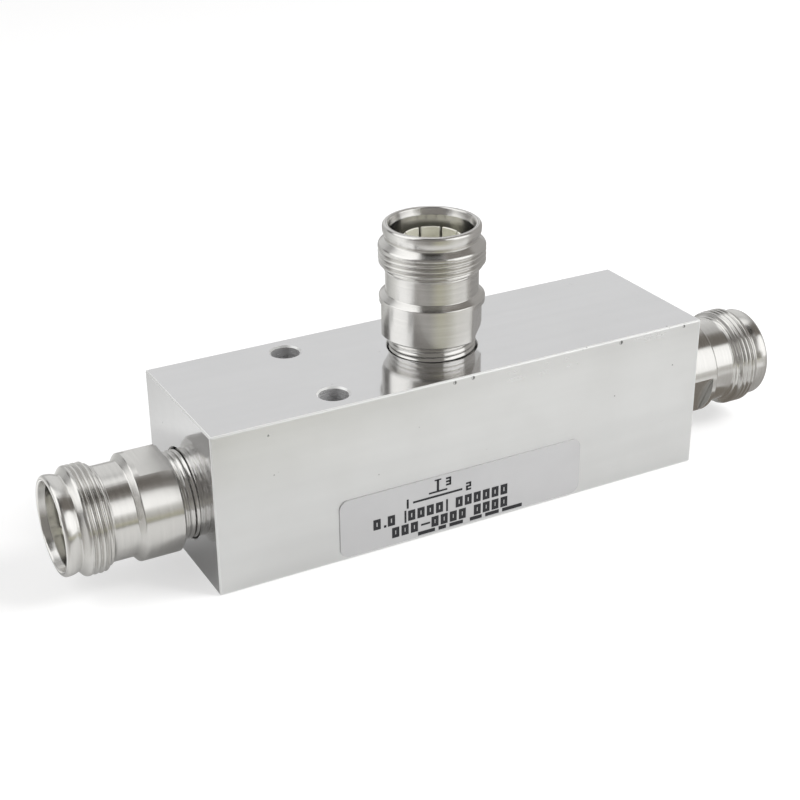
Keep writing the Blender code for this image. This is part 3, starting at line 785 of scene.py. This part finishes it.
def metals(settings):
    """Machined finishes, by name: the values that machined() takes."""
    f, s = settings.finish, settings.connector
    colours = (f.shell_colour, f.silver_colour, f.milled_colour, f.drawn_colour)
    shell, silver, milled, drawn = map(tuple, colours)
    lead_end = s.lip_face - s.mouth_lead
    mouth, crest, neck, barrel = s.mouth_radius, s.thread_radius, s.neck_radius, s.barrel_radius
    neck_root = neck - s.neck_thread_depth
    # Zones: the mouth's lead keeps its colour; painted shade darkens the mouth below the lead, the thread's
    # grooves, the neck a little and the wall at the flats' front
    zones = [
        (lead_end, s.lip_face, mouth, mouth + s.mouth_flare, f.bore_roughness, 1.0),
        (s.mouth_floor, lead_end, mouth, mouth + HAIR, 0.20, 0.86),
        (s.thread_back - 5 * HAIR, s.thread_land, crest - s.thread_depth, crest, 0.20, 0.86),
        (-s.seal_top, s.barrel_back - HAIR, neck_root, neck + 2 * HAIR, 0.16, 0.96),
        (s.flat_front - HAIR, s.flat_front + HAIR, barrel - HAIR, barrel - 0.3 * HAIR, 0.35, 0.58),
    ]
    # Scales of the tool lines: across the axis twice and along it, or along the bar first
    lathe, contact, drill = (40.0, 40.0, 2200.0), (200.0, 200.0, 2500.0), (150.0, 150.0, 2600.0)
    along, cutter, rough = (8.0, 180.0, 180.0), (12.0, 500.0, 500.0), (900.0, 900.0, 900.0)
    # The nicks' finish is the drawn colour darkened: painted shade inside the dents
    nick_shade = tuple(0.55 * c for c in drawn)
    return {
        "turned_plating": (shell, f.shell_roughness, lathe, 0.035, 7e-7, 0.03, 1.0, True, 0.85, zones),
        "turned_silver": (silver, f.silver_roughness, contact, 0.04, 8e-7, 0.05, 0.6, True, 0.5),
        "fly_cut_aluminium": (milled, f.milled_roughness, cutter, 0.01, 5e-7, 0.05, 1.0, False),
        "drawn_bar_aluminium": (drawn, f.drawn_roughness, along, 0.03, 1.5e-6, 0.08, 1.0, False),
        "drilled_aluminium": (milled, f.bore_roughness, drill, 0.06, 2e-6, 0.08, 0.72, False),
        "rubbed_edges": (drawn, 0.4, along, 0.03, 1.5e-6, 0.03, 0.55, True),
        "nick_painted_shade": (nick_shade, 0.5, rough, 0.10, 2e-6, 0.03, 1.0, True),
    }


def soft_finishes(f):
    """The other finishes, by name: the values that grained() takes."""
    wax = {"Subsurface Weight": 0.15, "Subsurface Radius": (0.002, 0.002, 0.0018)}
    return {
        "white_insulator": (f.insulator_colour, (0.95, 1.0), (0.38, 0.48), 2e-6, None, wax),
        "black_rubber": (f.seal_colour, (1.0, 1.6), (0.55, 0.7), 4e-6, (6000.0, 2.0), {}),
        "grey_film": (f.label_colour, (0.97, 1.03), (0.34, 0.42), 1.5e-6, (2500.0, 3.0), {"Metallic": 0.35}),
        "label_ink": (f.ink_colour, (1.0, 2.0), (0.40, 0.52), 0.0, (4000.0, 2.0), {"Specular IOR Level": 0.2}),
    }


def finish(settings, name):
    """The named material, made when it is first asked for."""
    if name in bpy.data.materials:
        return bpy.data.materials[name]
    metal = metals(settings).get(name)
    if metal:
        return machined(name, *metal)
    return grained(name, *soft_finishes(settings.finish)[name])


# Operators: the pieces

BAR_FINISHES = (
    "fly_cut_aluminium",
    "drawn_bar_aluminium",
    "drilled_aluminium",
    "rubbed_edges",
    "nick_painted_shade",
)
MILLED, DRAWN, DRILLED, EDGE, SHADED_DENT = range(5)
BAR_SIZE = Vector(BAR_HIGH) - Vector(BAR_LOW)
BAR_MIDDLE = (Vector(BAR_HIGH) + Vector(BAR_LOW)) / 2


def bar_cutters(settings):
    """What is taken out of the bar, as (mesh, matrix): seats, bores, mounting holes and nicks."""
    bar, top, chamfer = settings.bar, BAR_HIGH[2], 2 * HAIR
    radius = bar.seat_radius
    seat = [(radius + chamfer + OVER, OVER), (radius, -chamfer), (radius, -bar.seat_depth)]
    cutters = [(plug("seat", seat), port_place(port)) for port in PORTS]
    reach = BAR_SIZE[0] / 2 - bar.seat_depth + OVER
    along = Matrix.Translation((0.0, 0.0, LINE_HEIGHT)) @ Matrix.Rotation(math.pi / 2, 4, "Y")
    cutters.append((plug("bore", [(bar.bore_radius, reach), (bar.bore_radius, -reach)]), along))
    inner = settings.connector.inner_radius
    rise = [(inner, top - bar.seat_depth + OVER), (inner, LINE_HEIGHT)]
    cutters.append((plug("rise", rise), Matrix.Identity(4)))
    radius, chamfer = bar.hole_radius, bar.hole_chamfer
    flare = radius + chamfer + OVER
    hole = [(flare, top + OVER), (radius, top - chamfer), (radius, chamfer), (flare, -OVER)]
    for side in (-1, 1):
        place = Matrix.Translation((BAR_LOW[0] + bar.hole_from_end, side * bar.hole_offset, 0.0))
        cutters.append((plug("hole", hole), place))
    for x, drop, share_of in EDGE_NICKS:
        radius = bar.nick * share_of
        arc = [(radius * math.sin(i * math.pi / 8), radius * math.cos(i * math.pi / 8)) for i in range(9)]
        place = Matrix.Translation((x, BAR_LOW[1] - 0.3 * radius, top - drop))
        cutters.append((turned_mesh("nick", arc, NICK_SIDES), place))
    return cutters


def paint_bar(mesh, bar):
    """Keep the flat faces flat and give each face its finish."""
    half, skin = BAR_SIZE / 2, bar.edge * 1.1
    for face in mesh.polygons:
        normal, reach = face.normal, face.center - BAR_MIDDLE
        flat = max(abs(c) for c in normal) > 0.9999
        if flat:
            face.use_smooth = False
        if max(abs(reach[i]) - half[i] for i in range(3)) <= -skin:
            face.material_index = DRILLED
        elif flat:
            face.material_index = DRAWN if abs(normal.y) > 0.99 or normal.z < -0.99 else MILLED
        else:
            # The nicks' faces take the darkened finish: painted shade in the dents
            by_side = abs(reach.x) < half.x - 2 * bar.edge and abs(reach.y) > half.y - 3 * bar.nick
            face.material_index = SHADED_DENT if by_side and abs(normal.x) > 0.05 else EDGE


class TAPPER_OT_housing(Operator):
    """Build the bar with rounded edges, round bores and two mounting holes"""

    bl_idname = "tapper.housing"
    bl_label = "Build the bar"

    def execute(self, context):
        settings = context.scene.tapper
        block = box_mesh("bar_block", [(tuple(BAR_SIZE), Matrix.Translation(BAR_MIDDLE))])
        mesh = cut_away("bar_body", block, bar_cutters(settings), rounding=settings.bar.edge)
        shade(mesh, BAR_EDGE_ANGLE)
        for name in BAR_FINISHES:
            mesh.materials.append(finish(settings, name))
        paint_bar(mesh, settings.bar)
        add_piece("bar_body", mesh, None, "housing")
        return {"FINISHED"}


class TAPPER_OT_connector_shells(Operator):
    """Turn the three connector shells, with their threads and spanner flats"""

    bl_idname = "tapper.connector_shells"
    bl_label = "Build the connector shells"

    def execute(self, context):
        settings = context.scene.tapper
        s = settings.connector

        def threads(points):
            heights = points[:, 2]
            radii = np.hypot(points[:, 0], points[:, 1])
            outer = radii > s.mouth_radius + HAIR
            coupling = (heights < s.thread_land + HAIR) & (heights > s.waist_front + HAIR)
            neck = (heights < s.barrel_back - 0.1 * HAIR) & (heights > NECK_THREAD_END)
            return (outer & coupling) | (neck & (radii > s.inner_radius + 10 * HAIR))

        for port in PORTS:
            phase = -(s.thread_start + math.radians(THREAD_TURNS[port])) / FULL_TURN
            name, node = port + "_shell_turned", port + "_connector_shell"
            mesh = rings_to_mesh(name, shell_rings(s, flat_turn(s, port), phase))
            shade(mesh, SHELL_EDGE_ANGLE, threads)
            add_piece(name, mesh, finish(settings, "turned_plating"), node, port_place(port))
        return {"FINISHED"}


def add_contact(settings, port, name, node, turned, slots):
    """Slit a turned contact and put it in its port."""
    mesh = cut_away(port + name, turned, [(slots, Matrix.Identity(4))])
    shade(mesh, CONTACT_EDGE_ANGLE)
    silver = finish(settings, "turned_silver")
    add_piece(port + name, mesh, silver, port + node, port_place(port))


class TAPPER_OT_outer_contacts(Operator):
    """Turn the three spring baskets and slit them into fingers"""

    bl_idname = "tapper.outer_contacts"
    bl_label = "Build the spring baskets"

    def execute(self, context):
        settings = context.scene.tapper
        s = settings.connector
        inner, outer, bead, rim = s.basket_inner, s.basket_outer, s.basket_bead, s.basket_rim
        slope, straight = 0.0003, 0.0006
        bead_top, bead_end = rim - slope, rim - slope - straight
        low, high, brim = s.mouth_floor + 0.0003, s.mouth_floor + 0.0015, s.mouth_radius - 0.0003
        outline = [
            (inner + 0.00008, rim),
            (outer - 0.00008, rim),
            (outer + 0.00006, rim - 0.0001),
            (bead - 0.00003, bead_top + 0.00004),
            (bead, bead_top - 0.00005),
            (bead, bead_end + 0.00005),
            (bead - 0.00003, bead_end - 0.00004),
            (outer, bead_end - slope),
            (outer, high),
            (brim, high),
            (brim, low),
            (inner, low),
            (inner, rim - 0.00008),
        ]
        for port in PORTS:
            turn = flat_turn(s, port) + s.finger_turn
            span = (inner - 4 * HAIR, bead + 4 * HAIR, s.slot_root, rim + OVER)
            slots = spokes(s.fingers, turn, s.slot_width, *span)
            turned = turned_mesh("basket", outline, BORE_SIDES)
            add_contact(settings, port, "_spring_basket", "_outer_contact", turned, slots)
        return {"FINISHED"}


class TAPPER_OT_centre_contacts(Operator):
    """Turn the three slotted centre contacts"""

    bl_idname = "tapper.centre_contacts"
    bl_label = "Build the centre contacts"

    def execute(self, context):
        settings = context.scene.tapper
        s = settings.connector
        tip, radius, seat = s.contact_tip, s.contact_radius, s.mouth_floor + 0.0003
        socket, neck, pin, bend = 0.0011, 0.0016, 0.0012, 0.0003
        floor, shoulder, end = tip - 0.0050, -0.0060, -0.0090
        outline = [(0.0, floor), (socket, floor), (socket, tip - 0.00015), (socket + 0.00015, tip)]
        for i in range(5):
            turn = math.pi / 2 * i / 4
            outline.append((radius - bend * (1 - math.sin(turn)), tip - bend * (1 - math.cos(turn))))
        outline += [(radius, seat), (neck, seat), (neck, s.ledge), (radius, s.ledge)]
        outline += [(radius, shoulder), (pin, shoulder), (pin, end), (0.0, end)]
        for port in PORTS:
            slots = spokes(4, flat_turn(s, port), 0.0004, socket / 2, radius + socket, tip - 0.0044, tip + OVER)
            turned = turned_mesh("socket", outline, CONTACT_SIDES)
            add_contact(settings, port, "_socket_contact", "_centre_contact", turned, slots)
        return {"FINISHED"}


def rounded_outline(low, high, radius):
    """Points round a rectangle in X and Z, with rounded corners."""
    outline = []
    left, right, bottom, top = low[0] + radius, high[0] - radius, low[2] + radius, high[2] - radius
    for quarter, (x, z) in enumerate(((right, top), (left, top), (left, bottom), (right, bottom))):
        for i in range(9):
            turn = math.pi / 2 * (quarter + i / 8)
            outline.append((x + radius * math.cos(turn), z + radius * math.sin(turn)))
    return outline


def label_film(front_y, radius):
    """The label's film: a rounded sheet, a hair smaller in front than behind."""
    low, high = Vector(LABEL_LOW), Vector(LABEL_HIGH)
    middle, half = (low + high) / 2, (high - low) / 2
    rear_y, slope = BAR_LOW[1] - 0.00001, 0.00006
    shrink_x, shrink_z = 1 - slope / half[0], 1 - slope / half[2]
    outline = rounded_outline(low, high, radius)
    with new_mesh("label_film") as (mesh, bm):
        front = []
        for x, z in outline:
            x, z = middle[0] + (x - middle[0]) * shrink_x, middle[2] + (z - middle[2]) * shrink_z
            front.append(bm.verts.new((x, front_y, z)))
        bm.faces.new(front)
        rear = [bm.verts.new((x, rear_y, z)) for x, z in outline]
        bm.faces.new(rear[::-1])
        for i in range(len(outline)):
            k = (i + 1) % len(outline)
            bm.faces.new((front[i], rear[i], rear[k], front[k]))
        bmesh.ops.recalc_face_normals(bm, faces=bm.faces)
    return mesh


def number_bars(digit, x, z, wide, tall, line):
    """The bars that make one plain number, each by its lower left corner and size."""
    half, right = (tall - line) / 2, x + wide - line
    bars = {
        "a": (x, z + tall - line, wide, line),
        "g": (x, z + half, wide, line),
        "d": (x, z, wide, line),
        "b": (right, z + half, line, half + line),
        "c": (right, z, line, half + line),
        "e": (x, z, line, half + line),
    }
    return [bars[key] for key in {"1": "bc", "2": "abged", "3": "abgcd"}[digit]]


def mark_bars(mark, x, z, tall, line):
    """The bars of one mark in a row: a hollow box, a dot, an upright or a dash."""
    if mark == "o":
        wide, inside = 1.5, tall - 2 * line
        across = [(x, z, wide, line), (x, z + tall - line, wide, line)]
        return across + [(x, z + line, line, inside), (x + wide - line, z + line, line, inside)]
    x += 0.2
    if mark == ".":
        return [(x, z, 0.5, 0.5)]
    if mark == "-":
        return [(x, z + tall * 0.42, 1.9, 0.4)]
    return [] if mark == " " else [(x, z - 0.2, 0.4, tall + 0.4)]


def print_bars():
    """The label's print: a line with a tap, numbered ports, and rows of plain boxes and bars."""
    bars = list(PRINT_DRAWING)
    for values in PRINT_NUMBERS:
        bars += number_bars(*values)
    for x, z, tall, line, pattern in PRINT_ROWS:
        for mark in pattern:
            bars += mark_bars(mark, x, z, tall, line)
            x += PRINT_PITCH[mark]
    x, z, tall, widths = PRINT_FOOT
    for wide in widths:
        if wide:
            bars.append((x, z, wide, tall))
        x += wide + tall
    return bars


class TAPPER_OT_label(Operator):
    """Lay the label film on the front face and print it"""

    bl_idname = "tapper.label"
    bl_label = "Build the label"

    def execute(self, context):
        settings = context.scene.tapper
        front_y, ink = LABEL_LOW[1] + 0.00003, 0.00002
        film = label_film(front_y, settings.bar.label_corner)
        shade(film, CONTACT_EDGE_ANGLE)
        add_piece("label_film", film, finish(settings, "grey_film"), "rating_label")
        boxes = []
        for x, z, wide, tall in print_bars():
            centre = ((x + wide / 2) / 1000, front_y - ink / 2, (z + tall / 2) / 1000)
            boxes.append(((wide / 1000, ink, tall / 1000), Matrix.Translation(centre)))
        printed = box_mesh("label_print", boxes)
        add_piece("label_print", printed, finish(settings, "label_ink"), None)
        return {"FINISHED"}


class TAPPER_OT_inner_pieces(Operator):
    """Give the conductors, insulators, beads and seals their finishes"""

    bl_idname = "tapper.inner_pieces"
    bl_label = "Finish the inner pieces"

    def execute(self, context):
        wanted = {"main_conductor": "turned_silver", "tap_conductor": "turned_silver"}
        for side in ("left", "right"):
            wanted["support_bead_" + side] = "white_insulator"
        for port in PORTS:
            wanted[port + "_insulator"] = "white_insulator"
            wanted[port + "_o_ring"] = "black_rubber"
        for name, material in wanted.items():
            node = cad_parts.get(name)
            if node is None:
                raise RuntimeError("the packed part has no node " + name)
            node.data.materials.clear()
            node.data.materials.append(finish(context.scene.tapper, material))
        return {"FINISHED"}


# Operator: the stage


def direction(azimuth, elevation):
    """A unit vector from its turn and its height above the horizon, in degrees."""
    turn, rise = math.radians(azimuth), math.radians(elevation)
    return Vector((math.cos(turn) * math.cos(rise), math.sin(turn) * math.cos(rise), math.sin(rise)))


def fill_world(world, level):
    """Soft surroundings: pale behind, a dark room at the camera and the right, and white panels."""
    world.use_nodes = True
    world.node_tree.nodes.clear()
    n = Nodes(world.node_tree)
    towards = n.add("ShaderNodeTexCoord").outputs["Generated"]
    tint = (level, level, level, 1.0)
    for turn, rise, reach, soft, patch in SURROUNDINGS:
        near = n.vectors("DOT_PRODUCT", towards, direction(turn, rise))["Value"]
        edge, full = math.cos(math.radians(reach + soft)), math.cos(math.radians(reach - soft))
        tint = n.mix(n.soft(near, edge, full), tint, (*patch, 1.0))
    tint = n.mix(n.add("ShaderNodeLightPath").outputs["Is Camera Ray"], tint, BACKDROP)
    back = n.add("ShaderNodeBackground", {"Color": tint, "Strength": 1.0})
    n.add("ShaderNodeOutputWorld", {"Surface": back.outputs[0]})


def floor_material(f):
    """A pale floor. In mirrored rays it is a small sheet that ends in front of and beside the object."""
    material, n, shader = start_material("pale_floor", tuple(f.floor_colour), 0.9, 0.0)
    n.fill(shader, {"Specular IOR Level": 0.0, "Emission Strength": 1.0})
    place = n.add("ShaderNodeNewGeometry").outputs["Position"]
    parts = n.add("ShaderNodeSeparateXYZ", {"Vector": place}).outputs
    x, y = parts["X"], parts["Y"]
    away = n.soft(n.vectors("LENGTH", place)["Value"], 0.079, 0.085)
    # Painted shadow for mirrored rays: the dark card under the output connector
    to_card = n.vectors("DISTANCE", place, SHADOW_CARD_PLACE)["Value"]
    card = n.remap(to_card, 0.0075, 0.0095, 1.0, 0.0, kind="SMOOTHSTEP")
    beyond = n.soft(y, -0.074, -0.082)
    for mask in (
        n.times(away, n.soft(x, 0.0, -0.012)),
        n.soft(n.maths("MULTIPLY_ADD", y, 0.45, x), 0.068, 0.081),
        n.times(n.soft(x, 0.070, 0.074), n.soft(y, -0.046, -0.036)),
        card,
    ):
        beyond = n.maths("MAXIMUM", beyond, mask)
    turn = n.remap(n.maths("ARCTAN2", y, x), -math.pi, math.pi)
    ramp = n.add("ShaderNodeValToRGB", {"Fac": turn})
    stops = ramp.color_ramp.elements
    while len(stops) < len(ROOM):
        stops.new(0.5)
    for stop, (degrees, tint) in zip(stops, ROOM):
        stop.position = (degrees + 180.0) / 360.0
        stop.color = (*tint, 1.0)
    glossy = n.add("ShaderNodeLightPath").outputs["Is Glossy Ray"]
    seen = n.times(glossy, beyond)
    sheet = n.mix(glossy, (*f.floor_colour, 1.0), (*f.sheet_colour, 1.0))
    lift = n.mix(glossy, (*f.floor_lift, 1.0), (*f.sheet_lift, 1.0))
    room = n.mix(card, ramp.outputs["Color"], SHADOW_CARD_COLOUR)
    n.fill(shader, {"Base Color": n.mix(seen, sheet, BLACK), "Emission Color": n.mix(seen, lift, room)})
    return material


def area_light(name, place, size, power):
    """A soft square light that faces the object."""
    lamp = bpy.data.lights.new(name, "AREA")
    lamp.shape, lamp.size, lamp.energy = "SQUARE", size, power
    light = show(name, lamp)
    light.location = place
    light.rotation_euler = (Vector((0.0, 0.0, 0.02)) - Vector(place)).to_track_quat("-Z", "Y").to_euler()
    light.visible_glossy = False


def add_camera(stage):
    """The camera, aimed at its target from its turn, height and distance."""
    az, el, roll = stage.azimuth, stage.elevation, stage.roll
    back = Vector((math.sin(az) * math.cos(el), -math.cos(az) * math.cos(el), math.sin(el)))
    right = Vector((0.0, 0.0, 1.0)).cross(back).normalized()
    up = back.cross(right)
    tilted = right * math.cos(roll) + up * math.sin(roll)
    risen = up * math.cos(roll) - right * math.sin(roll)
    camera = show("camera", bpy.data.cameras.new("camera"))
    axes = Matrix((tilted, risen, back)).transposed().to_4x4()
    camera.matrix_world = Matrix.Translation(Vector(stage.target) + back * stage.distance) @ axes
    camera.data.lens, camera.data.sensor_width = stage.lens, 36.0
    camera.data.clip_start, camera.data.clip_end = 0.01, 50.0
    bpy.context.scene.camera = camera


class TAPPER_OT_stage(Operator):
    """Set up the pale floor, the soft light and the camera"""

    bl_idname = "tapper.stage"
    bl_label = "Build the studio"

    def execute(self, context):
        settings, scene = context.scene.tapper, context.scene
        stage = settings.stage
        scene.view_settings.view_transform = "Standard"
        scene.view_settings.look = "None"
        with new_mesh("floor") as (mesh, bm):
            bmesh.ops.create_grid(bm, x_segments=1, y_segments=1, size=3.0)
        mesh.materials.append(floor_material(settings.finish))
        floor = show("floor", mesh)
        floor.location.z = -0.00005
        scene.world = bpy.data.worlds.new("studio")
        fill_world(scene.world, stage.world_level)
        area_light("key", (0.42, -0.30, 0.55), 0.35, stage.key_power)
        area_light("fill", (-0.45, 0.25, 0.50), 0.40, stage.fill_power)
        add_camera(stage)
        return {"FINISHED"}


class TAPPER_PT_panel(Panel):
    """Lists the steps that build the tapper"""

    bl_label = "Coaxial Tapper"
    bl_idname = "TAPPER_PT_panel"
    bl_space_type = "VIEW_3D"
    bl_region_type = "UI"
    bl_category = "Tapper"

    def draw(self, context):
        for step in STEPS:
            self.layout.operator(step.bl_idname)


STEPS = (
    TAPPER_OT_stage,
    TAPPER_OT_housing,
    TAPPER_OT_connector_shells,
    TAPPER_OT_outer_contacts,
    TAPPER_OT_centre_contacts,
    TAPPER_OT_label,
    TAPPER_OT_inner_pieces,
)
GROUPS = (TapperConnectorSizes, TapperBarSizes, TapperFinish, TapperStage, TapperSettings)
CLASSES = GROUPS + STEPS + (TAPPER_PT_panel,)


def register():
    for item in CLASSES:
        bpy.utils.register_class(item)
    bpy.types.Scene.tapper = PointerProperty(type=TapperSettings)


def unregister():
    del bpy.types.Scene.tapper
    for item in reversed(CLASSES):
        bpy.utils.unregister_class(item)


def main():
    register()
    bpy.ops.tapper.stage()
    bpy.ops.tapper.housing()
    bpy.ops.tapper.connector_shells()
    bpy.ops.tapper.outer_contacts()
    bpy.ops.tapper.centre_contacts()
    bpy.ops.tapper.label()
    bpy.ops.tapper.inner_pieces()


if __name__ == "__main__":
    main()
